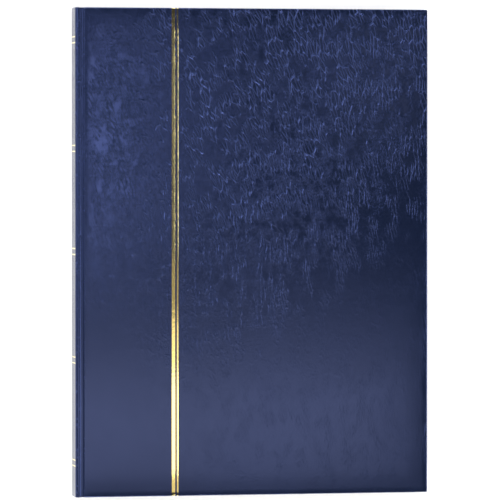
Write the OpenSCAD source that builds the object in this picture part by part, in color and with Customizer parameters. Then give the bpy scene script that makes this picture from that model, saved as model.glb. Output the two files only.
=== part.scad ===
// Slim hardback stamp album (stockbook) with leatherette covers, gold foil lines and
// linen-hinged card leaves. It lies closed on its back cover: +X runs from the spine to
// the fore-edge, +Y to the head, +Z up through the front cover. Millimetres.

/* [Album] */
// Overall width, spine to fore-edge
album_w = 225; // [180:1:260]
// Overall height, tail to head
album_h = 305; // [240:1:340]
// Number of card leaves
leaf_count = 8; // [4:2:10]
// Thickness of one finished cover
cover_t = 3.0; // [2.6:0.1:4.0]
// Distance from one leaf to the next in the closed book
leaf_pitch = 1.2; // [1.2:0.1:2.0]

/* [Covers] */
// Thickness of the leatherette on the outside and round the edges
skin_t = 0.5; // [0.4:0.1:0.7]
// Width of the leatherette turned in over the inside of a board
turn_in_w = 15; // [10:1:20]
// Thickness of the turned-in leatherette, and of the paper that covers it
paper_t = 0.2; // [0.1:0.1:0.3]
// Border of turned-in leatherette left bare round the endpaper
endpaper_margin = 3; // [2:1:6]

/* [Spine] */
// Thickness of the finished spine panel
spine_t = 2.7; // [2.5:0.1:3.0]
// Radius of the spine's outer edges and corners
spine_round = 2; // [1.5:0.1:2.4]
// Width of the open joint between the spine panel and a cover
joint_w = 2.5; // [2.5:0.1:3.5]
// Depth of the joint groove below a cover's outer face
groove_depth = 1.5; // [1.5:0.1:2.1]
// Thickness of the leatherette in the joint
joint_skin_t = 0.6; // [0.4:0.1:0.6]

/* [Gold lines] */
// Distance of the wide front line from the spine's outer face
wide_line_x = 60.8; // [40:0.1:100]
// Width of the wide front line
wide_line_w = 2.2; // [1:0.1:4]
// Gap between the two front lines
line_gap = 1.0; // [0.6:0.1:3]
// Width of the narrow front line
narrow_line_w = 1.1; // [0.6:0.1:3]
// Distance between pairs of lines on the spine
band_pitch = 65.9; // [50:0.1:80]
// Height of the middle pair above the spine's middle
band_rise = 0.6; // [0:0.1:3]
// How much lower than even spacing the second and fourth pairs sit
inner_pair_drop = 1.7; // [0:0.1:3]
// Centre distance of the two lines of a pair
band_split = 3.7; // [2.5:0.1:6]
// Width of each line on the spine
band_w = 1.0; // [0.5:0.1:2]
// Distance of those lines' ends from the covers' outer faces
band_margin = 1.6; // [1:0.1:4]
// Depth of the groove pressed for the foil
foil_depth = 0.15; // [0.12:0.01:0.2]
// Thickness of the foil
foil_t = 0.1; // [0.05:0.01:0.1]

/* [Leaves] */
// Distance of the leaves' edges inside the covers' edges
square_w = 4; // [2:1:6]
// Thickness of the card
card_t = 0.5; // [0.4:0.05:0.5]
// Thickness of the clear pocket film
film_t = 0.12; // [0.05:0.01:0.12]
// Number of pocket strips on one page
strip_count = 9; // [6:1:10]
// Share of the strip pitch that the film covers
strip_fill = 0.83; // [0.6:0.01:0.9]
// Thickness of the glassine interleaf
interleaf_t = 0.1; // [0.05:0.01:0.1]
// Thickness of the linen where it bends
linen_t = 0.2; // [0.1:0.05:0.2]
// Thickness of the linen glued to each face of the card
flap_t = 0.15; // [0.1:0.01:0.15]

/* [Hidden] */
$fn = 48;
cut = 1;
cover_names = ["back", "front"];
leaf_parts = ["card", "pockets", "hinge", "interleaf"];

block_t = leaf_count * leaf_pitch + 0.4;
album_t = 2 * cover_t + block_t;
cover_x = spine_t + joint_w;
cover_l = album_w - cover_x;
board_t = cover_t - skin_t - 2 * paper_t;

// Skin on the spine, its paper liner, and the stiff panel between them
spine_skin_t = 0.6;
liner_t = 0.3;
joint_skin_l = joint_w - 0.3;
joint_inset = 0.2;

// Back of the sewn block: lining, folded linen guards, then each leaf's own pivot line
lining_x = spine_t;
lining_t = 0.7;
guard_x = lining_x + lining_t;
guard_l = 1.5;
guard_half = 0.4;
pivot_x = guard_x + guard_l + 0.2;
lining_inset = cover_t + 0.2;
thread_r = 0.25;
thread_stations = 6;

// Leaf layout along X, measured from the spine's outer face
card_x = 14.5;
linen_join_x = 13;
flap_end_x = 20;
stub_x = 15;
stub_l = 3;
film_x = 22;
film_fore_margin = 2;
page_h = album_h - 2 * square_w;
page_end_x = album_w - square_w;
strip_pitch = (page_h - 9) / strip_count;
strip_h = strip_pitch * strip_fill;

// Heights of the leaves' middle planes, and of the interleaf above each
below_leaf = card_t / 2 + film_t;
interleaf_z = (leaf_pitch - interleaf_t) / 2;
above_leaf = interleaf_z + interleaf_t;
stack_t = (leaf_count - 1) * leaf_pitch + below_leaf + above_leaf;
first_leaf_z = cover_t + (block_t - stack_t) / 2 + below_leaf;

function leaf_z(k) = first_leaf_z + (leaf_count - k) * leaf_pitch;

narrow_line_x = wide_line_x + wide_line_w + line_gap;
pair_centres = [for (i = [-2:2]) band_rise + i * band_pitch - (abs(i) == 1 ? inner_pair_drop : 0)];
band_centres = [for (c = pair_centres, side = [-1, 1]) c + side * band_split / 2];

// A box from its low X, length, height along Y (centred on Y = 0), low Z and thickness
module slab(x, l, h, z, t) {
    translate([x - album_w / 2, -h / 2, z]) cube([l, h, t]);
}

// Puts a part drawn for the back cover in its place on either cover
module on_cover(which) {
    if (which == "front") translate([0, 0, album_t]) mirror([0, 0, 1]) children();
    else children();
}

// Space in a cover's leatherette for the board, and the window inside the turn-ins
module cover_filling() {
    slab(cover_x + skin_t, cover_l - 2 * skin_t, album_h - 2 * skin_t, skin_t, board_t);
    slab(cover_x + turn_in_w, cover_l - 2 * turn_in_w, album_h - 2 * turn_in_w, skin_t, cover_t);
}

module cover_leatherette() {
    difference() {
        slab(cover_x, cover_l, album_h, 0, cover_t - paper_t);
        cover_filling();
    }
}

module board() {
    color("burlywood") slab(cover_x + skin_t, cover_l - 2 * skin_t, album_h - 2 * skin_t, skin_t, board_t);
}

// Pastedown sheet, with the pad that levels the window between the turn-ins
module endpaper() {
    inner_l = cover_l - 2 * endpaper_margin;
    inner_h = album_h - 2 * endpaper_margin;
    color("dimgray") {
        slab(cover_x + endpaper_margin, inner_l, inner_h, cover_t - paper_t, paper_t);
        slab(cover_x + turn_in_w, cover_l - 2 * turn_in_w, album_h - 2 * turn_in_w,
             cover_t - 2 * paper_t, paper_t);
    }
}

module joint_leather() {
    color("darkslateblue")
        slab(spine_t, joint_skin_l, album_h - 2 * joint_inset, groove_depth, joint_skin_t);
}

module back_cover_leatherette() {
    color("midnightblue") cover_leatherette();
}

module front_cover_leatherette() {
    color("midnightblue") difference() {
        on_cover("front") cover_leatherette();
        for (line = [[wide_line_x, wide_line_w], [narrow_line_x, narrow_line_w]])
            slab(line[0], line[1], album_h + cut, album_t - foil_depth, cut);
    }
}

module front_gold_line(x, w) {
    color("gold") slab(x, w, album_h, album_t - foil_depth, foil_t);
}

// Section of the spine panel in X and Z: round at the outer face, square at the inner one
module spine_section(inset) {
    r = spine_round;
    intersection() {
        union() {
            for (z = [r, album_t - r])
                translate([r, z]) circle(r - inset);
            translate([inset, r]) square([spine_t, album_t - 2 * r]);
            translate([r, inset]) square([spine_t, album_t - 2 * inset]);
        }
        square([spine_t, album_t]);
    }
}

// The spine panel's section swept along Y, its four outer corners rounded in plan
module spine_bar(inset, h) {
    r = spine_round - inset;
    translate([-album_w / 2, 0, 0]) intersection() {
        translate([0, h / 2, 0]) rotate([90, 0, 0]) linear_extrude(h) spine_section(inset);
        linear_extrude(album_t) {
            for (y = [-h / 2 + r, h / 2 - r])
                translate([inset + r, y]) circle(r);
            translate([inset, -h / 2 + r]) square([spine_t, h - 2 * r]);
            translate([inset + r, -h / 2]) square([spine_t, h]);
        }
    }
}

// Bands across the spine's outer face at every gold line, between two depths below its surface
module spine_bands(from_depth, to_depth) {
    for (y = band_centres)
        translate([-album_w / 2, y + band_w / 2, 0]) rotate([90, 0, 0]) linear_extrude(band_w)
            difference() {
                intersection() {
                    spine_section(from_depth);
                    translate([0, band_margin]) square([spine_round, album_t - 2 * band_margin]);
                }
                spine_section(to_depth);
            }
}

module spine_leatherette() {
    panel_x = spine_t - liner_t;
    color("midnightblue") difference() {
        spine_bar(0, album_h);
        intersection() {
            spine_bar(spine_skin_t, album_h - 2 * spine_skin_t);
            slab(0, panel_x, album_h, 0, album_t);
        }
        slab(panel_x, cut, album_h - 2 * turn_in_w, cover_t, block_t);
        spine_bands(0, foil_depth);
    }
}

module spine_board() {
    color("burlywood") intersection() {
        spine_bar(spine_skin_t, album_h - 2 * spine_skin_t);
        slab(0, spine_t - liner_t, album_h, 0, album_t);
    }
}

module spine_liner() {
    color("tan") slab(spine_t - liner_t, liner_t, album_h - 2 * turn_in_w, cover_t, block_t);
}

module spine_gold_lines() {
    color("gold") spine_bands(foil_depth - foil_t, foil_depth);
}

module spine_lining() {
    color("wheat") slab(lining_x, lining_t, page_h, lining_inset, album_t - 2 * lining_inset);
}

// One folded linen guard behind each leaf, pierced for the sewing
module linen_guards() {
    color("whitesmoke") difference() {
        for (k = [1:leaf_count])
            slab(guard_x, guard_l, page_h, leaf_z(k) - guard_half, 2 * guard_half);
        thread_runs(thread_r);
    }
}

module thread_runs(r) {
    low = leaf_z(leaf_count) - guard_half;
    for (i = [1:thread_stations])
        translate([guard_x + guard_l / 2 - album_w / 2, (i / (thread_stations + 1) - 0.5) * page_h, low])
            cylinder(h = leaf_z(1) + guard_half - low, r = r);
}

module sewing_thread() {
    color("white") thread_runs(thread_r);
}

module leaf_card(k) {
    color("dimgray") slab(card_x, page_end_x - card_x, page_h, leaf_z(k) - card_t / 2, card_t);
}

// Clear strips on both faces of the card, each open along its upper edge
module leaf_pockets(k) {
    film_l = page_end_x - film_fore_margin - film_x;
    color("lightblue", 0.5)
        for (i = [0:strip_count - 1], z = [leaf_z(k) - below_leaf, leaf_z(k) + card_t / 2])
            translate([0, (i + 0.5 - strip_count / 2) * strip_pitch, 0])
                slab(film_x, film_l, strip_h, z, film_t);
}

// Linen that bends beside the guard and grips the card between two flaps
module leaf_hinge(k) {
    grip = card_t / 2 + flap_t;
    color("whitesmoke") {
        slab(pivot_x, linen_join_x - pivot_x, page_h, leaf_z(k) - linen_t / 2, linen_t);
        difference() {
            slab(linen_join_x, flap_end_x - linen_join_x, page_h, leaf_z(k) - grip, 2 * grip);
            slab(card_x, flap_end_x, page_h + cut, leaf_z(k) - card_t / 2, card_t);
        }
    }
}

// Glassine sheet over the page, glued to the linen by its folded stub
module leaf_interleaf(k) {
    stub_z = card_t / 2 + flap_t;
    color("white", 0.6) {
        slab(stub_x, page_end_x - stub_x - film_fore_margin, page_h, leaf_z(k) + interleaf_z, interleaf_t);
        slab(stub_x, stub_l, page_h, leaf_z(k) + stub_z, interleaf_z - stub_z);
    }
}

board();  // back_board
back_cover_leatherette();
endpaper();  // back_endpaper
joint_leather();  // back_joint_leather
on_cover("front") board();  // front_board
front_cover_leatherette();
on_cover("front") endpaper();  // front_endpaper
on_cover("front") joint_leather();  // front_joint_leather
front_gold_line(wide_line_x, wide_line_w);  // front_wide_gold_line
front_gold_line(narrow_line_x, narrow_line_w);  // front_narrow_gold_line
spine_board();
spine_leatherette();
spine_liner();
spine_gold_lines();
spine_lining();
linen_guards();
sewing_thread();
for (k = [1:leaf_count]) {
    leaf_card(k);
    leaf_pockets(k);
    leaf_hinge(k);
    leaf_interleaf(k);
}
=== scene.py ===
"""Looks of a hardback stamp album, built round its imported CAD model, in metres in its frame."""

import math

import bmesh
import bpy
from mathutils import Matrix, Vector, noise


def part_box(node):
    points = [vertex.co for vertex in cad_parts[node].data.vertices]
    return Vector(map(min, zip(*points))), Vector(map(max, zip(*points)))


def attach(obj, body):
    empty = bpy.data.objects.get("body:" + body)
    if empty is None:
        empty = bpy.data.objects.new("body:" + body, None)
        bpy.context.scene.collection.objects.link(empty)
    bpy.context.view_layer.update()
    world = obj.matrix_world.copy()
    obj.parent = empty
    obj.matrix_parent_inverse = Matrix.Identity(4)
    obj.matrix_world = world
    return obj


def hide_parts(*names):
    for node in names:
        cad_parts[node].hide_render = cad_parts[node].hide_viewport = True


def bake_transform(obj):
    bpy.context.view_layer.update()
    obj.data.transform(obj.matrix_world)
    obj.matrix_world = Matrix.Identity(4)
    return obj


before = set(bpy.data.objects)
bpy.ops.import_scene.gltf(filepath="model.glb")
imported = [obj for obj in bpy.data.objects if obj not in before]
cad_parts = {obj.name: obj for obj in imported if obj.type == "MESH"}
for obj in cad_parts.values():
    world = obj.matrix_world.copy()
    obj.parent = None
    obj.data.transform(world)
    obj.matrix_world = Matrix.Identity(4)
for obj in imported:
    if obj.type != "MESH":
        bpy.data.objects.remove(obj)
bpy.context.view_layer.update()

MM = 0.001
LEAVES = 8

# Meshes: distance at which points join, and the angle from which an edge stays sharp
WELD = 1e-7
SHARP_ANGLE = math.radians(48)

# Camera: the closed album seen from above, turned a little towards its spine
CAMERA_DISTANCE = 2.607
CAMERA_YAW = math.radians(11.26)
CAMERA_RISE = 0.0563
CAMERA_AIM = (-0.0019, 0.0012)
CAMERA_LENS = 299.6

# Leather edges and thicknesses
EDGE_R = 0.8 * MM
INNER_EDGE_R = 0.4 * MM
SKIN_T = 0.4 * MM
TURN_IN = 15 * MM
TURN_IN_T = 0.18 * MM
SETTLE = 0.06 * MM
WAVE = 0.05 * MM
JOINT_DIP = 0.05 * MM
JOINT_DIP_W = 2.8 * MM
EDGE_FALL = 0.20 * MM
EDGE_FALL_W = 15 * MM
COVER_GRID = 3 * MM
COVER_WAVES = (17, 13, 5.0)
EDGE_STEPS = 5
INNER_EDGE_STEPS = 4

# Foil pressed into the leather
PRESS = 0.14 * MM
PRESS_BEVEL = 0.12 * MM
FOIL_SINK = 0.07 * MM
FOIL_T = 0.05 * MM
FOIL_CURL = 0.004 * MM
FOIL_PROFILE = [(-1, FOIL_CURL), (-0.8, FOIL_CURL * 0.3), (-0.5, 0), (0, 0), (0.5, 0),
                (0.8, FOIL_CURL * 0.3), (1, FOIL_CURL)]


# ---------------------------------------------------------------- mesh helpers

def steps(a, b, pitch):
    """Evenly spaced values from a to b, no further apart than pitch."""
    n = max(1, math.ceil(abs(b - a) / pitch - 1e-9))
    return [a + (b - a) * i / n for i in range(n + 1)]


def arc(cx, cz, r, start, end, n=6):
    """Points of an arc in degrees, each with its outward direction."""
    found = []
    for i in range(n + 1):
        a = math.radians(start + (end - start) * i / n)
        d = (math.cos(a), math.sin(a))
        found.append(((cx + r * d[0], cz + r * d[1]), d))
    return found


def finish_mesh(bm, name, body, material):
    """Makes one closed piece of the mesh, riding on a body."""
    bmesh.ops.remove_doubles(bm, verts=bm.verts, dist=WELD)
    bmesh.ops.recalc_face_normals(bm, faces=bm.faces)
    data = bpy.data.meshes.new(name)
    bm.to_mesh(data)
    bm.free()
    obj = bpy.data.objects.new(name, data)
    bpy.context.scene.collection.objects.link(obj)
    data.materials.append(material)
    data.shade_smooth()
    data.set_sharp_from_angle(angle=SHARP_ANGLE)
    if body:
        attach(obj, body)
    return obj


def bridge(bm, a, b, closed=True):
    """Quads between two rows of vertices, or triangles where a row repeats a vertex."""
    n = len(a)
    for i in range(n if closed else n - 1):
        j = (i + 1) % n
        corners = [a[i], a[j], b[j], b[i]]
        face = [v for k, v in enumerate(corners) if v not in corners[:k]]
        if len(face) > 2:
            bm.faces.new(face)


def thin_sheet(bm, xs, ys, height, thickness):
    """A closed sheet over a grid: height(x, y) is its lower face."""
    layers = []
    for lift in (0, thickness):
        layers.append([[bm.verts.new((x, y, height(x, y) + lift)) for x in xs] for y in ys])
    for layer in layers:
        for low, high in zip(layer, layer[1:]):
            bridge(bm, low, high, closed=False)
    borders = []
    for g in layers:
        right = [row[-1] for row in g[1:]]
        left = [row[0] for row in g[-2:0:-1]]
        borders.append(g[0] + right + g[-1][-2::-1] + left)
    bridge(bm, *borders)


def ribbon(bm, stations, across, half, thickness):
    """A closed strip of foil along stations of (point, normal), its edges turned up a little."""
    rings = []
    for point, normal in stations:
        upper = []
        for share, lift in FOIL_PROFILE:
            upper.append(Vector(point) + Vector(across) * half * share + Vector(normal) * lift)
        lower = [p - Vector(normal) * thickness for p in reversed(upper)]
        rings.append([bm.verts.new(p) for p in upper + lower])
    for a, b in zip(rings, rings[1:]):
        bridge(bm, a, b)
    for ring in (rings[0], rings[-1]):
        bm.faces.new(ring)


def prism(bm, outline, ys):
    """A closed outline of (x, z) points carried along Y."""
    rings = [[bm.verts.new((x, y, z)) for x, z in outline] for y in ys]
    for a, b in zip(rings, rings[1:]):
        bridge(bm, a, b)
    for ring in (rings[0], rings[-1]):
        bm.faces.new(ring)


# ---------------------------------------------------------------- materials

class Nodes:
    """Short calls for building one material's node tree."""

    def __init__(self, name):
        self.material = bpy.data.materials.new(name)
        self.material.use_nodes = True
        self.tree = self.material.node_tree
        self.shader = self.tree.nodes["Principled BSDF"]
        coordinates = self.tree.nodes.new("ShaderNodeTexCoord")
        self.place = coordinates.outputs["Object"]

    def put(self, socket, value):
        if isinstance(value, bpy.types.NodeSocket):
            self.tree.links.new(value, socket)
        else:
            socket.default_value = value

    def set(self, **values):
        """Sets or links the main shader's inputs, named with _ for a space."""
        for key, value in values.items():
            self.put(self.shader.inputs[key.replace("_", " ")], value)

    def math(self, operation, a, b=0.0, clamp=False):
        node = self.tree.nodes.new("ShaderNodeMath")
        node.operation = operation
        node.use_clamp = clamp
        self.put(node.inputs[0], a)
        self.put(node.inputs[1], b)
        return node.outputs[0]

    def axes(self, vector):
        node = self.tree.nodes.new("ShaderNodeSeparateXYZ")
        self.put(node.inputs[0], vector)
        return node.outputs

    def vector(self, x, y, z=0.0):
        node = self.tree.nodes.new("ShaderNodeCombineXYZ")
        for socket, value in zip(node.inputs, (x, y, z)):
            self.put(socket, value)
        return node.outputs[0]

    def scaled(self, vector, factors):
        node = self.tree.nodes.new("ShaderNodeVectorMath")
        node.operation = "MULTIPLY"
        self.put(node.inputs[0], vector)
        self.put(node.inputs[1], factors)
        return node.outputs[0]

    def noise(self, vector, scale, detail=2.0, roughness=0.5):
        node = self.tree.nodes.new("ShaderNodeTexNoise")
        self.put(node.inputs["Vector"], vector)
        self.put(node.inputs["Scale"], scale)
        self.put(node.inputs["Detail"], detail)
        self.put(node.inputs["Roughness"], roughness)
        return node.outputs["Fac"]

    def cells(self, vector, scale):
        """Distance to the nearest edge between flat cells."""
        node = self.tree.nodes.new("ShaderNodeTexVoronoi")
        node.voronoi_dimensions = "2D"
        node.feature = "DISTANCE_TO_EDGE"
        self.put(node.inputs["Vector"], vector)
        self.put(node.inputs["Scale"], scale)
        return node.outputs["Distance"]

    def spread(self, value, low, high, to_low=0.0, to_high=1.0, smooth=True):
        """Maps low..high to to_low..to_high, held at both ends."""
        node = self.tree.nodes.new("ShaderNodeMapRange")
        node.interpolation_type = "SMOOTHSTEP" if smooth else "LINEAR"
        for socket, v in zip(node.inputs, (value, low, high, to_low, to_high)):
            self.put(socket, v)
        return node.outputs[0]

    def mix(self, share, a, b):
        node = self.tree.nodes.new("ShaderNodeMix")
        node.data_type = "RGBA"
        self.put(node.inputs[0], share)
        self.put(node.inputs[6], a)
        self.put(node.inputs[7], b)
        return node.outputs[2]

    def bump(self, height, distance, strength=1.0, normal=None):
        node = self.tree.nodes.new("ShaderNodeBump")
        self.put(node.inputs["Strength"], strength)
        self.put(node.inputs["Distance"], distance)
        self.put(node.inputs["Height"], height)
        if normal is not None:
            self.put(node.inputs["Normal"], normal)
        return node.outputs[0]

    def worn(self):
        """How near a point is to a rounded edge, written on the mesh as it was made."""
        node = self.tree.nodes.new("ShaderNodeAttribute")
        node.attribute_name = "wear"
        return node.outputs["Fac"]


# Leather grain: cells per metre, the share of their length kept along Y, and their edges' width
WRINKLE_CELLS = 640
WRINKLE_ALONG = 0.20
WRINKLE_EDGE = 0.15
CREASE_CELLS = 1250
CREASE_ALONG = 0.34
CREASE_EDGE = 0.22
CREASE_SHARE = 0.30
PEBBLE_SHARE = 0.02
GRAIN_DEPTH = 0.23 * MM
# Painted highlight: a lighter navy laid on the wrinkle crests, standing in for the light they catch
PAINTED_CREST_HIGHLIGHT = (0.026, 0.039, 0.108, 1)
SCUFF_COLOUR = (0.040, 0.050, 0.105, 1)
LEATHER_SHEEN = (0.28, 0.38, 1.0, 1)
LEATHER_ROUGHNESS = (0.172, 0.182)


def leatherette(name, deep, light):
    """Embossed grain: slanting wrinkles and creases over a pebble, deepest near the head."""
    m = Nodes(name)
    x, y, z = m.axes(m.place)
    flat = m.math("ADD", x, z)
    lean = m.spread(x, -0.10, 0.13, 0.52, 0.10, smooth=False)
    drift = m.math("MULTIPLY", m.noise(m.place, 38, 1), 0.0055)
    wander = m.math("MULTIPLY", m.noise(m.place, 230, 2), 0.0008)
    across = m.math("ADD", m.math("ADD", flat, m.math("MULTIPLY", y, lean)),
                    m.math("ADD", drift, wander))
    long_cells = m.vector(across, m.math("MULTIPLY", y, WRINKLE_ALONG))
    short_cells = m.vector(across, m.math("MULTIPLY", y, CREASE_ALONG))
    wrinkles = m.spread(m.cells(long_cells, WRINKLE_CELLS), 0.0, WRINKLE_EDGE, 1.0, 0.0)
    creases = m.spread(m.cells(short_cells, CREASE_CELLS), 0.0, CREASE_EDGE, 1.0, 0.0)
    pebble = m.noise(m.place, 2100, 2)
    strokes = m.spread(m.noise(m.scaled(m.place, (1.0, 0.45, 1.0)), 170, 2), 0.38, 0.58)
    breaks = m.spread(m.noise(m.place, 210, 1), 0.28, 0.66)
    patches = m.spread(m.noise(m.place, 30, 3), 0.34, 0.66, 0.75, 1.0)
    slanted = m.math("SUBTRACT", y, m.math("MULTIPLY", m.math("MAXIMUM", flat, 0.0), 0.8))
    headward = m.spread(slanted, -0.105, 0.080, 0.07, 1.0)
    inward = m.spread(flat, -0.075, -0.025, 0.32, 1.0)
    depth = m.math("MULTIPLY", m.math("MULTIPLY", patches, headward), inward)
    folded = m.math("MULTIPLY", m.math("MULTIPLY", wrinkles, strokes), depth)
    fine = m.math("MULTIPLY", m.math("MULTIPLY", creases, breaks), depth)
    crests = m.math("ADD", folded, m.math("MULTIPLY", fine, CREASE_SHARE), clamp=True)
    height = m.math("ADD", crests, m.math("MULTIPLY", pebble, PEBBLE_SHARE))
    m.set(Normal=m.bump(height, GRAIN_DEPTH))
    tone = m.noise(m.place, 26, 3)
    colour = m.mix(m.spread(tone, 0.35, 0.65), (*deep, 1), (*light, 1))
    # Painted highlight: the base colour is mixed towards a lighter navy along the grain's crests, as
    # if they caught the light
    colour = m.mix(m.math("MULTIPLY", crests, 0.4), colour, PAINTED_CREST_HIGHLIGHT)
    scuff = m.math("MULTIPLY", m.worn(), m.spread(m.noise(m.place, 420, 3), 0.50, 0.72))
    colour = m.mix(m.math("MULTIPLY", scuff, 0.25), colour, SCUFF_COLOUR)
    rough = m.spread(m.noise(m.place, 60, 3), 0.3, 0.7, *LEATHER_ROUGHNESS)
    m.set(Base_Color=colour, Roughness=m.math("ADD", rough, m.math("MULTIPLY", scuff, 0.15)),
          IOR=1.5, Specular_IOR_Level=1.0, Specular_Tint=LEATHER_SHEEN)
    return m.material


def foil(name):
    """Bright stamped foil that keeps a little of the grain under it."""
    m = Nodes(name)
    soft = m.noise(m.place, 520, 2)
    fine = m.noise(m.scaled(m.place, (1.0, 0.4, 1.0)), 1900, 3)
    m.set(Normal=m.bump(fine, 0.000010, 0.7, m.bump(soft, 0.00003, 0.5)))
    worn = m.spread(m.noise(m.place, 900, 3), 0.62, 0.76)
    colour = m.mix(worn, (0.92, 0.79, 0.34, 1), (0.46, 0.39, 0.20, 1))
    m.set(Base_Color=colour, Metallic=1.0, Roughness=m.spread(worn, 0, 1, 0.07, 0.24))
    return m.material


def fibre_sheet(name, colour, fleck, roughness, scale=900, depth=0.00003):
    """Board, card or paper: faint fibres and flecks over a matt ground."""
    m = Nodes(name)
    fibres = m.noise(m.scaled(m.place, (1.0, 0.35, 1.0)), scale, 4, 0.65)
    cloud = m.noise(m.place, 45, 2)
    specks = m.spread(m.noise(m.place, scale * 1.7, 2), 0.62, 0.72)
    tone = m.mix(m.spread(cloud, 0.3, 0.7), (*colour, 1), tuple(c * 0.86 for c in colour) + (1,))
    m.set(Base_Color=m.mix(m.math("MULTIPLY", specks, 0.5), tone, (*fleck, 1)),
          Roughness=m.spread(fibres, 0.3, 0.7, roughness - 0.06, roughness + 0.06),
          Normal=m.bump(fibres, depth, 0.6))
    return m.material


def linen(name, colour, dark, threads=1500):
    """Plain weave: threads over and under in both directions."""
    m = Nodes(name)
    x, y, z = m.axes(m.place)
    warp = m.math("SINE", m.math("MULTIPLY", m.math("ADD", x, z), threads * math.pi))
    weft = m.math("SINE", m.math("MULTIPLY", y, threads * math.pi))
    over = m.math("MULTIPLY", warp, weft)
    slub = m.noise(m.scaled(m.place, (1.0, 0.12, 1.0)), 700, 2)
    height = m.math("ADD", m.spread(over, -1, 1), m.math("MULTIPLY", slub, 0.6))
    m.set(Base_Color=m.mix(m.spread(height, 0.2, 1.1), (*dark, 1), (*colour, 1)),
          Roughness=m.spread(slub, 0.3, 0.7, 0.75, 0.9), Normal=m.bump(height, 0.00004, 0.8),
          Sheen_Weight=0.25)
    return m.material


def clear_film(name):
    """Clear pocket film: glossy, nearly colourless, with faint ripples."""
    m = Nodes(name)
    ripple = m.noise(m.scaled(m.place, (1.0, 3.0, 1.0)), 60, 2)
    haze = m.noise(m.place, 300, 2)
    m.set(Base_Color=m.mix(haze, (0.80, 0.84, 0.86, 1), (0.92, 0.94, 0.95, 1)),
          Roughness=m.spread(haze, 0.3, 0.7, 0.06, 0.14),
          Alpha=m.spread(haze, 0.3, 0.7, 0.12, 0.17), IOR=1.49, Normal=m.bump(ripple, 0.0004, 0.5))
    return m.material


def glassine(name):
    """Translucent interleaf paper, smooth and slightly cloudy."""
    m = Nodes(name)
    cloud = m.noise(m.place, 120, 4, 0.6)
    fibres = m.noise(m.scaled(m.place, (1.0, 0.4, 1.0)), 1400, 3)
    m.set(Base_Color=m.mix(cloud, (0.60, 0.60, 0.56, 1), (0.70, 0.70, 0.66, 1)),
          Roughness=m.spread(fibres, 0.3, 0.7, 0.32, 0.45),
          Alpha=m.spread(cloud, 0.3, 0.7, 0.30, 0.38),
          Normal=m.bump(m.noise(m.place, 28, 2), 0.0006, 0.4))
    return m.material


def plain_thread(name):
    """Twisted cotton."""
    m = Nodes(name)
    x, y, z = m.axes(m.place)
    twist = m.math("SINE", m.math("MULTIPLY", m.math("ADD", m.math("ADD", x, y), z), 9000))
    m.set(Base_Color=m.mix(m.spread(twist, -1, 1), (0.55, 0.52, 0.45, 1), (0.84, 0.82, 0.76, 1)),
          Roughness=m.spread(m.noise(m.place, 900), 0.3, 0.7, 0.7, 0.85),
          Normal=m.bump(twist, 0.00005, 0.7))
    return m.material


def studio_floor(name):
    """Matt pale paper."""
    m = Nodes(name)
    cloud = m.noise(m.place, 3, 2)
    m.set(Base_Color=m.mix(cloud, (0.90, 0.90, 0.90, 1), (0.92, 0.92, 0.92, 1)), Roughness=0.9)
    return m.material


LEATHER = leatherette("navy_leatherette", (0.0019, 0.0042, 0.0124), (0.0027, 0.0054, 0.0158))
GOLD = foil("gold_foil")
BOARD = fibre_sheet("greyboard", (0.36, 0.30, 0.23), (0.20, 0.16, 0.12), 0.85)
ENDPAPER = fibre_sheet("black_endpaper", (0.022, 0.023, 0.027), (0.05, 0.05, 0.055), 0.62,
                       scale=1300, depth=0.00002)
KRAFT = fibre_sheet("kraft_paper", (0.40, 0.27, 0.15), (0.24, 0.15, 0.08), 0.8)
CARD = fibre_sheet("black_card", (0.020, 0.020, 0.022), (0.050, 0.050, 0.052), 0.68)
LINEN = linen("linen_cloth", (0.70, 0.68, 0.62), (0.36, 0.34, 0.30))
FILM = clear_film("clear_film")
GLASSINE = glassine("glassine_paper")
THREAD = plain_thread("cotton_thread")


# ---------------------------------------------------------------- covers

cover_low, cover_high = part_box("front_cover_leatherette")
back_low, back_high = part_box("back_cover_leatherette")
spine_low, spine_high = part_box("spine_leatherette")
wide_low, wide_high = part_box("front_wide_gold_line")
narrow_low, narrow_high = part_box("front_narrow_gold_line")
FOIL_LINES = ((wide_low.x, wide_high.x), (narrow_low.x, narrow_high.x))


def settle(x, y, side):
    """How far the skin lies below the CAD's outer face: a wave, a dip at the joint, falling edges."""
    along_x, along_y, apart = COVER_WAVES
    wave = noise.noise(Vector((x * along_x, y * along_y, side * apart)))
    from_joint = (x - cover_low.x) / JOINT_DIP_W
    near_fore = max(0.0, 1 - (cover_high.x - x) / EDGE_FALL_W) ** 2
    near_end = max(0.0, 1 - (cover_high.y - abs(y)) / EDGE_FALL_W) ** 2
    fall = EDGE_FALL * (1 - (1 - near_fore) * (1 - near_end))
    return SETTLE + WAVE * wave + JOINT_DIP * math.exp(-from_joint ** 2) + fall


def pressed_at(x, lines):
    """Depth of the pressed channels at x, with short bevels at their sides."""
    depth = 0.0
    for low, high in lines:
        inside = min(x - low, high - x)
        depth = max(depth, PRESS * min(1.0, max(0.0, inside / PRESS_BEVEL)))
    return depth


def cover_columns(low, high, lines):
    """Grid lines across the cover, with four at each channel for its floor and bevels."""
    columns = steps(low, high, COVER_GRID)
    for a, b in lines:
        columns = [x for x in columns if not a - 1 * MM < x < b + 1 * MM]
        columns += [a - 0.4 * MM, a, a + PRESS_BEVEL, b - PRESS_BEVEL, b, b + 0.4 * MM]
    return sorted(columns)


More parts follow.
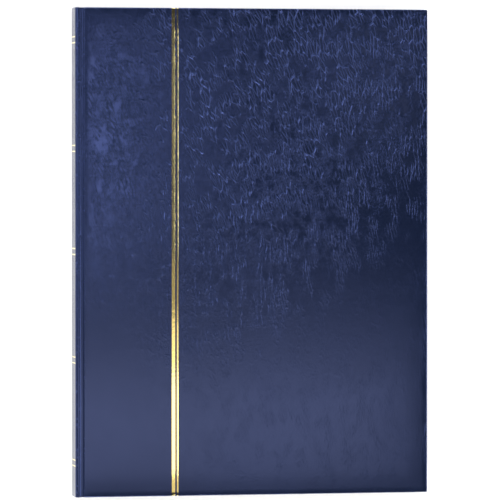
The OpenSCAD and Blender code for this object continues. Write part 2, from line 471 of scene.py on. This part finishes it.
def edge_spokes(xs, ys, fan=5):
    """The grid's border in order: (column, row, outward direction), with a fan at each corner."""
    nx, ny = len(xs) - 1, len(ys) - 1
    sides = (
        ([(i, 0) for i in range(nx + 1)], 270),
        ([(nx, j) for j in range(ny + 1)], 0),
        ([(i, ny) for i in range(nx, -1, -1)], 90),
        ([(0, j) for j in range(ny, -1, -1)], 180),
    )
    spokes = []
    for cells, angle in sides:
        straight = (math.cos(math.radians(angle)), math.sin(math.radians(angle)))
        spokes += [(i, j, straight) for i, j in cells]
        for k in range(1, fan):
            a = math.radians(angle + 90 * k / fan)
            spokes.append((*cells[-1], (math.cos(a), math.sin(a))))
    return spokes


def cover_skin(name, node, body, lines, side):
    """Leather round one board: outer face, rounded edges, turn-ins, and the inside of the skin."""
    low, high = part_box(node)
    thick = high.z - low.z
    xs = cover_columns(low.x + EDGE_R, high.x - EDGE_R, lines)
    ys = steps(low.y + EDGE_R, high.y - EDGE_R, COVER_GRID)
    bm = bmesh.new()
    wear = bm.verts.layers.float.new("wear")

    def vert(x, y, z, worn=0.0):
        v = bm.verts.new((x, y, low.z + z if side > 0 else high.z - z))
        v[wear] = worn
        return v

    face = [[vert(x, y, thick - settle(x, y, side) - pressed_at(x, lines)) for x in xs] for y in ys]
    for a, b in zip(face, face[1:]):
        bridge(bm, a, b, closed=False)
    spokes = edge_spokes(xs, ys)
    ring = [face[j][i] for i, j, _ in spokes]

    def next_ring(out_of, z_of, worn=0.0):
        """One more ring of the edge, from its distance out from the flat face's border."""
        found = []
        for i, j, d in spokes:
            x, y = xs[i], ys[j]
            pressed = pressed_at(x, lines)
            deep = settle(x, y, side) + pressed
            out = out_of(EDGE_R - SETTLE - pressed)
            if out >= 0:
                x, y = x + d[0] * out, y + d[1] * out
            else:
                x = min(max(x, xs[0] - out), xs[-1] + out)
                y = min(max(y, ys[0] - out), ys[-1] + out)
            found.append(vert(x, y, z_of(deep), worn))
        bridge(bm, ring, found)
        return found

    for k in range(1, EDGE_STEPS + 1):
        a = math.radians(90 / EDGE_STEPS * k)
        ring = next_ring(lambda r: r * math.sin(a),
                         lambda c: thick - EDGE_R + (EDGE_R - c) * math.cos(a), math.sin(2 * a))
    for k in range(INNER_EDGE_STEPS + 1):
        a = math.radians(90 / INNER_EDGE_STEPS * k)
        bulge = INNER_EDGE_R * (math.cos(a) - 1)
        rise = INNER_EDGE_R * (1 - math.sin(a))
        ring = next_ring(lambda r: r + bulge, lambda c: rise, 0.4 * math.sin(2 * a))
    inner = TURN_IN - EDGE_R
    for out, z in ((-2 * MM, 0), (-inner, 0), (-inner, TURN_IN_T), (-2 * MM, TURN_IN_T),
                   (EDGE_R - SKIN_T, TURN_IN_T), (EDGE_R - SKIN_T, thick - 1.5 * SKIN_T),
                   (0.0, thick - SKIN_T)):
        ring = next_ring(lambda r: out, lambda c: z)
    close_ring(bm, ring)
    obj = finish_mesh(bm, name, body, LEATHER)
    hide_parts(node)


def close_ring(bm, ring):
    """Fills a ring whose corner fans have drawn together into single points."""
    kept = []
    for v in ring:
        if not kept or (v.co - kept[-1].co).length > WELD / 10:
            kept.append(v)
    if (kept[0].co - kept[-1].co).length < WELD / 10:
        kept.pop()
    bm.faces.new(kept)


def front_foil(name, node):
    """A foil line in its channel, carried over the cover's head and tail edges."""
    low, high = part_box(node)
    mid = (low.x + high.x) / 2
    half = (high.x - low.x) / 2 - 0.3 * PRESS_BEVEL
    top = cover_high.z
    end = cover_high.y - EDGE_R
    side_r = EDGE_R - SETTLE - FOIL_SINK

    def depth(y):
        return settle(mid, y, 1) + FOIL_SINK

    over = []
    for sign in (-1, 1):
        face_r = EDGE_R - depth(sign * end)
        down = []
        for drop in (1.2, 0.8, 0.4):
            down.append(((mid, sign * (end + side_r), top - EDGE_R - drop * MM), (0, sign, 0)))
        for k in range(EDGE_STEPS, 0, -1):
            a = math.radians(90 / EDGE_STEPS * k)
            y, z = sign * (end + side_r * math.sin(a)), top - EDGE_R + face_r * math.cos(a)
            down.append(((mid, y, z), (0, sign * math.sin(a), math.cos(a))))
        over.append(down)
    flat = [((mid, y, top - depth(y)), (0, 0, 1)) for y in steps(-end, end, COVER_GRID)]
    bm = bmesh.new()
    ribbon(bm, over[0] + flat + over[1][::-1], (1, 0, 0), half, FOIL_T)
    obj = finish_mesh(bm, name, "front_cover", GOLD)
    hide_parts(node)


# ---------------------------------------------------------------- spine and joints

SPINE_R = 2 * MM
SHOULDER_R = 0.6 * MM
SPINE_END_R = 0.5 * MM
SPINE_END_STEPS = 6
SPINE_GRID = 4 * MM
SPINE_WAVES = (60, 25)
SPINE_RIM = 3 * MM
SHOULDER_H = 2.7 * MM
BAND_HALF = 0.5 * MM
BAND_MARGIN = 0.1 * MM
BAND_CLEAR = 1.2 * MM

# The joint's leather: width of each slope, depth and bed of its trough, and what is tucked in
JOINT_SLOPE = 1.1 * MM
JOINT_RISE = 1.0 * MM
JOINT_BED = 0.4 * MM
JOINT_TUCK = 0.12 * MM


def spine_outline():
    """Section of the spine's skin: points, outward directions, and whether foil crosses them."""
    left, right = spine_low.x, spine_high.x
    top, under = spine_high.z, spine_low.z
    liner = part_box("spine_liner")[0]
    foil_low, foil_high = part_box("spine_gold_lines")
    shoulder_x = right - SHOULDER_R
    inner = [((liner.x, under + SPINE_RIM), (1, 0)), ((liner.x, top - SPINE_RIM), (1, 0)),
             ((right, top - SHOULDER_H), (1, 0))]
    outline = inner + arc(shoulder_x, top - SHOULDER_R, SHOULDER_R, 0, 90)
    outline += arc(left + SPINE_R, top - SPINE_R, SPINE_R, 90, 180, 10)
    outline += [((left, z), (-1, 0)) for z in steps(top - SPINE_R, under + SPINE_R, 2 * MM)[1:-1]]
    outline += arc(left + SPINE_R, under + SPINE_R, SPINE_R, 180, 270, 10)
    outline += arc(shoulder_x, under + SHOULDER_R, SHOULDER_R, 270, 360)
    outline.append(((right, under + SHOULDER_H), (1, 0)))
    return [(p, d, d[0] < 0 and foil_low.z <= p[1] <= foil_high.z) for p, d in outline]


def band_centres():
    """Centres of the gold lines round the spine, read from the CAD's own lines."""
    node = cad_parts["spine_gold_lines"]
    ys = sorted({round(v.co.y, 6) for v in node.data.vertices})
    return [(a + b) / 2 for a, b in zip(ys[::2], ys[1::2])]


def spine_rows(bands):
    """Stations along the spine: (y, inset for its rounded ends, depth of the foil channel)."""
    end = spine_high.y
    rows = []
    for k in range(SPINE_END_STEPS + 1):
        a = math.radians(90 / SPINE_END_STEPS * k)
        rows.append((-end + SPINE_END_R * (1 - math.cos(a)), SPINE_END_R * (1 - math.sin(a)), 0))
    rows += [(-y, inset, deep) for y, inset, deep in rows]
    body = steps(-end + SPINE_END_R, end - SPINE_END_R, SPINE_GRID)[1:-1]
    for c in bands:
        body = [y for y in body if abs(y - c) > BAND_CLEAR]
        body += [c - BAND_HALF - BAND_MARGIN, c + BAND_HALF + BAND_MARGIN]
    rows += [(y, 0, 0) for y in body]
    for c in bands:
        rows += [(c - BAND_HALF, 0, PRESS), (c + BAND_HALF, 0, PRESS)]
    return sorted(rows)


def spine_point(p, d, y, deep):
    """A point of the spine's surface, set back by deep, with a slight hand-made unevenness."""
    round_it, along_it = SPINE_WAVES
    wave = noise.noise(Vector((p[0] * round_it, y * along_it, p[1] * round_it)))
    uneven = SETTLE + WAVE * wave
    back = deep + uneven
    return (p[0] - d[0] * back, y, p[1] - d[1] * back)


def spine_skin(bands):
    """Leather round the spine panel, with channels for its gold lines."""
    outline = spine_outline()
    bm = bmesh.new()
    wear = bm.verts.layers.float.new("wear")
    rings = []
    for y, inset, deep in spine_rows(bands):
        ring = []
        for p, d, marked in outline:
            v = bm.verts.new(spine_point(p, d, y, inset + deep * marked))
            v[wear] = 1.0 if inset or (abs(d[0]) > 0.2 and abs(d[1]) > 0.2) else 0.0
            ring.append(v)
        rings.append(ring)
    for a, b in zip(rings, rings[1:]):
        bridge(bm, a, b)
    for ring in (rings[0], rings[-1]):
        bm.faces.new(ring)
    obj = finish_mesh(bm, "spine_leather", "spine", LEATHER)
    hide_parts("spine_leatherette")


def spine_foil(bands):
    """Gold lines that run across the spine's outer face."""
    bm = bmesh.new()
    path = [(p, d) for p, d, marked in spine_outline() if marked]
    for y in bands:
        stations = [(spine_point(p, d, y, FOIL_SINK), (d[0], 0, d[1])) for p, d in path]
        ribbon(bm, stations, (0, 1, 0), BAND_HALF - 0.03 * MM, FOIL_T)
    obj = finish_mesh(bm, "spine_gold_bands", "spine", GOLD)
    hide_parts("spine_gold_lines")


def joint_skin(name, node, side):
    """Leather in the joint: a shallow trough between the spine's shoulder and the cover."""
    low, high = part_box(node)
    left, right = spine_high.x, cover_low.x
    face = high.z if side > 0 else low.z
    under = low.z if side > 0 else high.z
    rim = face + side * JOINT_RISE
    cove = [(left - JOINT_TUCK, rim), (left, rim)]
    for k in range(7):
        a = math.radians(15 * k)
        drop = (JOINT_RISE - JOINT_BED) * math.sin(a)
        cove.append((left + JOINT_SLOPE * (1 - math.cos(a)), face + side * (JOINT_RISE - drop)))
    for k in range(9):
        a = math.radians(11.25 * k)
        drop = (JOINT_RISE - JOINT_BED) * math.cos(a)
        cove.append((right - JOINT_SLOPE * (1 - math.sin(a)), face + side * (JOINT_RISE - drop)))
    cove.append((right + JOINT_TUCK + SETTLE, rim))
    lining = [(x, under) for x in steps(right + JOINT_TUCK, left - JOINT_TUCK, 0.3 * MM)]
    bm = bmesh.new()
    prism(bm, cove + lining, steps(low.y, high.y, SPINE_GRID))
    bm.verts.layers.float.new("wear")
    obj = finish_mesh(bm, name, None, LEATHER)
    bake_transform(obj)
    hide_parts(node)


# ---------------------------------------------------------------- leaves

# Half thickness of the linen web
WEB_HALF = 0.1 * MM

# Pocket film and glassine: thickness, and how far each stands off
FILM_T = 0.05 * MM
FILM_LIFT = 0.06 * MM
FILM_WELD = 1.2 * MM
FILM_ENDS = 15 * MM
GLASSINE_T = 0.06 * MM
GLASSINE_WAVE = 0.05 * MM
GLASSINE_DROP = 0.08 * MM
STUB = 3 * MM
STUB_FADE = 12 * MM


def hinge_cloth(k):
    """The leaf's linen: a single flat web, more finely divided beside the guard, then two flaps on
    the card.
    """
    low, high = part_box(f"leaf_{k}_hinge")
    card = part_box(f"leaf_{k}_card")
    mid = (low.z + high.z) / 2
    card_half = (card[1].z - card[0].z) / 2
    grip = (high.z - low.z) / 2
    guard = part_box("linen_guards")[1].x
    bend = steps(guard, guard + 3 * MM, 0.2 * MM)
    plain = steps(guard + 3 * MM, card[0].x - 2 * MM, 1.5 * MM)[1:]
    flare = [card[0].x - 1.2 * MM, card[0].x - 0.5 * MM, card[0].x]
    rise = [WEB_HALF + (grip - WEB_HALF) * s for s in (0.4, 0.85, 1.0)]
    upper = [(x, mid + WEB_HALF) for x in bend + plain]
    upper += [(x, mid + h) for x, h in zip(flare, rise)]
    upper += [(high.x, mid + grip)]
    slot = [(high.x, mid + card_half), (card[0].x, mid + card_half)]
    lower = [(x, 2 * mid - z) for x, z in reversed(upper)]
    gap = [(x, 2 * mid - z) for x, z in reversed(slot)]
    bm = bmesh.new()
    prism(bm, upper + slot + gap + lower, steps(low.y, high.y, 12 * MM))
    obj = finish_mesh(bm, f"leaf_{k}_linen", None, LINEN)
    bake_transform(obj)
    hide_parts(f"leaf_{k}_hinge")


def pocket_strips(k):
    """Clear strips on both faces of the card, welded below and standing a hair off above."""
    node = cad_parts[f"leaf_{k}_pockets"]
    low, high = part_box(f"leaf_{k}_pockets")
    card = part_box(f"leaf_{k}_card")
    ys = sorted({round(v.co.y, 6) for v in node.data.vertices})
    bm = bmesh.new()
    for row, (y0, y1) in enumerate(zip(ys[::2], ys[1::2])):
        for side in (-1, 1):
            face = card[1].z if side > 0 else card[0].z
            columns = steps(low.x, high.x, 14 * MM)
            rows = [y0, y0 + FILM_WELD, (y0 + y1) / 2, y1 - 1 * MM, y1]

            def height(x, y):
                open_share = min(1.0, max(0.0, (y - y0 - FILM_WELD) / (y1 - y0 - FILM_WELD)))
                ends = min(1.0, (x - low.x) / FILM_ENDS, (high.x - x) / FILM_ENDS)
                wave = 0.5 + 0.5 * noise.noise(Vector((x * 22, row * 3.1, k * 7.7 + side)))
                lift = FILM_LIFT * open_share ** 2 * max(0.0, ends) * wave
                return face + lift if side > 0 else face - lift - FILM_T

            thin_sheet(bm, columns, rows, height, FILM_T)
    obj = finish_mesh(bm, f"leaf_{k}_film", f"leaf_{k}", FILM)
    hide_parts(f"leaf_{k}_pockets")


def interleaf(k):
    """Glassine sheet with a slight wave, folded down to its stub on the linen."""
    low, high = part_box(f"leaf_{k}_interleaf")
    base = high.z - GLASSINE_DROP

    def height(x, y):
        wave = noise.noise(Vector((x * 20, y * 16, k * 3.3)))
        free = min(1.0, max(0.0, (x - low.x - STUB) / STUB_FADE))
        drop = (base - low.z) * (1 - free) ** 3
        return base + GLASSINE_WAVE * wave * free - drop

    columns = [low.x, low.x + STUB] + steps(low.x + STUB + 2 * MM, high.x, 8 * MM)
    bm = bmesh.new()
    thin_sheet(bm, columns, steps(low.y, high.y, 10 * MM), height, GLASSINE_T)
    obj = finish_mesh(bm, f"leaf_{k}_glassine", f"leaf_{k}", GLASSINE)
    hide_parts(f"leaf_{k}_interleaf")


# ---------------------------------------------------------------- the whole album

def dress(material, *names):
    """Gives CAD nodes that keep their shape a finished material."""
    for n in names:
        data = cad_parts[n].data
        data.materials.clear()
        data.materials.append(material)


def build_album():
    """Every piece of the album, from the covers in to the leaves."""
    cover_skin("front_leather", "front_cover_leatherette", "front_cover", FOIL_LINES, 1)
    cover_skin("back_leather", "back_cover_leatherette", "back_cover", (), -1)
    front_foil("wide_gold_line", "front_wide_gold_line")
    front_foil("narrow_gold_line", "front_narrow_gold_line")
    bands = band_centres()
    spine_skin(bands)
    spine_foil(bands)
    joint_skin("front_joint", "front_joint_leather", 1)
    joint_skin("back_joint", "back_joint_leather", -1)
    for k in range(1, LEAVES + 1):
        hinge_cloth(k)
        pocket_strips(k)
        interleaf(k)
        dress(CARD, f"leaf_{k}_card")
    dress(BOARD, "back_board", "front_board", "spine_board")
    dress(ENDPAPER, "back_endpaper", "front_endpaper")
    dress(KRAFT, "spine_liner")
    dress(LINEN, "spine_lining", "linen_guards")
    dress(THREAD, "sewing_thread")


# ---------------------------------------------------------------- studio

PANEL_HEIGHT = 0.9
FLOOR_DROP = 0.0002
WARM = (1.0, 0.88, 0.68)
NEUTRAL = (1.0, 0.97, 0.95)
PALE_BLUE = (0.60, 0.66, 1.0)
SURROUND_LOW = (0.98, 0.99, 1.0, 1)
SURROUND_HIGH = (0.045, 0.043, 0.045, 1)
SURROUND_FADE = (0.45, 0.85)


def area_light(name, place, aim, size, radiance, tint=(1.0, 1.0, 1.0)):
    """A rectangular light of an even radiance, aimed at a point."""
    data = bpy.data.lights.new(name, "AREA")
    data.shape = "RECTANGLE"
    data.size, data.size_y = size
    data.energy = radiance * math.pi * size[0] * size[1]
    data.color = tint
    obj = bpy.data.objects.new(name, data)
    bpy.context.scene.collection.objects.link(obj)
    obj.location = place
    obj.rotation_euler = (Vector(aim) - Vector(place)).to_track_quat("-Z", "Y").to_euler()


def studio():
    """Pale floor, panels over the cover, and soft keys."""
    bm = bmesh.new()
    bmesh.ops.create_grid(bm, x_segments=8, y_segments=8, size=6)
    floor = finish_mesh(bm, "floor", None, studio_floor("floor_paper"))
    floor.location.z = -FLOOR_DROP
    panels = (
        ("tail_end", -0.06, -0.255, (0.78, 0.09), 0.80, WARM),
        ("tail_panel", -0.06, -0.166, (0.78, 0.088), 3.30, WARM),
        ("tail_fade", -0.06, -0.099, (0.78, 0.046), 1.30, WARM),
        ("tail_haze", -0.06, -0.051, (0.78, 0.050), 0.30, WARM),
        ("joint_panel", 0.04, 0.078, (0.075, 0.192), 5.20, NEUTRAL),
        ("joint_fade", 0.04, -0.080, (0.075, 0.125), 1.90, NEUTRAL),
        ("spine_panel", -0.30, 0.0, (0.52, 0.80), 0.60, NEUTRAL),
        ("head_panel", 0.295, 0.138, (0.11, 0.11), 1.60, WARM),
        ("wide_panel", 0.19, 0.0, (0.20, 0.42), 0.04, PALE_BLUE),
    )
    for name, x, y, size, radiance, tint in panels:
        area_light(name, (x, y, PANEL_HEIGHT), (x, y, 0), size, radiance, tint)
    keys = (
        ("key_left", (-1.3, 0.4, 1.7), (0.9, 0.9), 3.0),
        ("key_right", (1.6, -0.3, 1.8), (0.9, 0.9), 5.0),
        ("key_head", (-0.3, 1.6, 1.8), (1.2, 0.8), 14.5),
        ("key_tail", (-0.3, -1.7, 1.7), (1.2, 0.8), 13.0),
    )
    for name, place, size, radiance in keys:
        area_light(name, place, (0, 0, 0), size, radiance)


def surround():
    """Pale near the horizon, fading to dark overhead."""
    world = bpy.data.worlds.new("surround")
    world.use_nodes = True
    tree = world.node_tree
    background = tree.nodes["Background"]
    place = tree.nodes.new("ShaderNodeTexCoord")
    parts = tree.nodes.new("ShaderNodeSeparateXYZ")
    fade = tree.nodes.new("ShaderNodeMapRange")
    tint = tree.nodes.new("ShaderNodeMix")
    tint.data_type = "RGBA"
    tree.links.new(place.outputs["Generated"], parts.inputs[0])
    tree.links.new(parts.outputs["Z"], fade.inputs[0])
    fade.inputs[1].default_value, fade.inputs[2].default_value = SURROUND_FADE
    tree.links.new(fade.outputs[0], tint.inputs[0])
    tint.inputs[6].default_value = SURROUND_LOW
    tint.inputs[7].default_value = SURROUND_HIGH
    tree.links.new(tint.outputs[2], background.inputs["Color"])
    background.inputs["Strength"].default_value = 1.0
    bpy.context.scene.world = world
    bpy.context.scene.view_settings.view_transform = "Standard"


def add_camera():
    """The view from above and from the spine's side, level with just above mid-height."""
    top = cover_high.z
    data = bpy.data.cameras.new("camera")
    data.lens = CAMERA_LENS
    obj = bpy.data.objects.new("camera", data)
    bpy.context.scene.collection.objects.link(obj)
    place = Vector((-CAMERA_DISTANCE * math.sin(CAMERA_YAW), CAMERA_RISE,
                    top + CAMERA_DISTANCE * math.cos(CAMERA_YAW)))
    ahead = (Vector((*CAMERA_AIM, top)) - place).normalized()
    right = ahead.cross(Vector((0, 1, 0))).normalized()
    up = right.cross(ahead)
    turn = Matrix((right, up, -ahead)).transposed()
    obj.matrix_world = Matrix.Translation(place) @ turn.to_4x4()
    bpy.context.scene.camera = obj


build_album()
studio()
surround()
add_camera()
